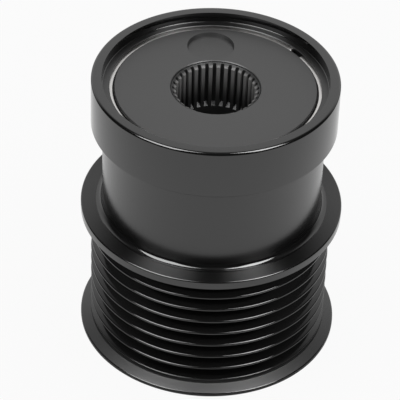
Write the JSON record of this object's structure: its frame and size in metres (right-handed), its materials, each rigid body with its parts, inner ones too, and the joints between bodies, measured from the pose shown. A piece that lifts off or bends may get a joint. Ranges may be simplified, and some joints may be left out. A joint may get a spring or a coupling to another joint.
{
  "type": "alternator freewheel pulley",
  "caption": "Black long-necked alternator pulley with a multi-rib belt track between two flanges, a one-way roller clutch, sealed bearings and a toothed drive socket.",
  "frame": {"origin": "centre of the rear face, where the pulley stands on its rear flange", "axes": "+Z along the axis of rotation, from the rear flange to the open front collar; +X and +Y square to it"},
  "size_m": [0.0604, 0.0604, 0.0689],
  "materials": {
    "black_coated_steel": "satin black coating, glossier on turned edges and in the grooves",
    "black_matt_steel": "matt dark grey coating",
    "spring_steel": "bright spring steel",
    "bearing_steel": "ground bearing steel",
    "ball_steel": "polished bearing steel",
    "seal_rubber": "matt black nitrile rubber",
    "cage_plastic": "natural glass-filled nylon",
    "hub_steel": "dark oxide on machined steel"
  },
  "bodies": {
    "pulley": {"pulley_sleeve": "black_coated_steel", "front_cover": "black_matt_steel", "cover_snap_ring": "spring_steel", "front_bearing_outer_ring": "bearing_steel", "front_bearing_rear_seal": "seal_rubber", "front_bearing_front_seal": "seal_rubber", "clutch_outer_ring": "bearing_steel", "rear_bearing_outer_ring": "bearing_steel", "rear_bearing_rear_seal": "seal_rubber", "rear_bearing_front_seal": "seal_rubber", "rear_retaining_ring": "spring_steel"},
    "hub": {"hub_sleeve": "hub_steel", "front_bearing_inner_ring": "bearing_steel", "rear_bearing_inner_ring": "bearing_steel", "clutch_cam_ring": "bearing_steel", "clutch_cage": "cage_plastic", "clutch_rollers": "ball_steel", "clutch_springs": "spring_steel"},
    "front_cage": {"front_bearing_cage": "cage_plastic", "front_bearing_balls": "ball_steel"},
    "rear_cage": {"rear_bearing_cage": "cage_plastic", "rear_bearing_balls": "ball_steel"}
  },
  "joints": [
    {"name": "hub_spin", "type": "hinge", "parent": "pulley", "child": "hub", "pos_m": [0, 0, 0.03], "axis": [0, 0, 1], "continuous": true},
    {"name": "front_cage_spin", "type": "hinge", "parent": "pulley", "child": "front_cage", "pos_m": [0, 0, 0.0594], "axis": [0, 0, 1], "continuous": true},
    {"name": "rear_cage_spin", "type": "hinge", "parent": "pulley", "child": "rear_cage", "pos_m": [0, 0, 0.0085], "axis": [0, 0, 1], "continuous": true}
  ],
  "couplings": [
    {"joint": "front_cage_spin", "follows": "hub_spin", "ratio": 0.43389},
    {"joint": "rear_cage_spin", "follows": "hub_spin", "ratio": 0.42896}
  ]
}
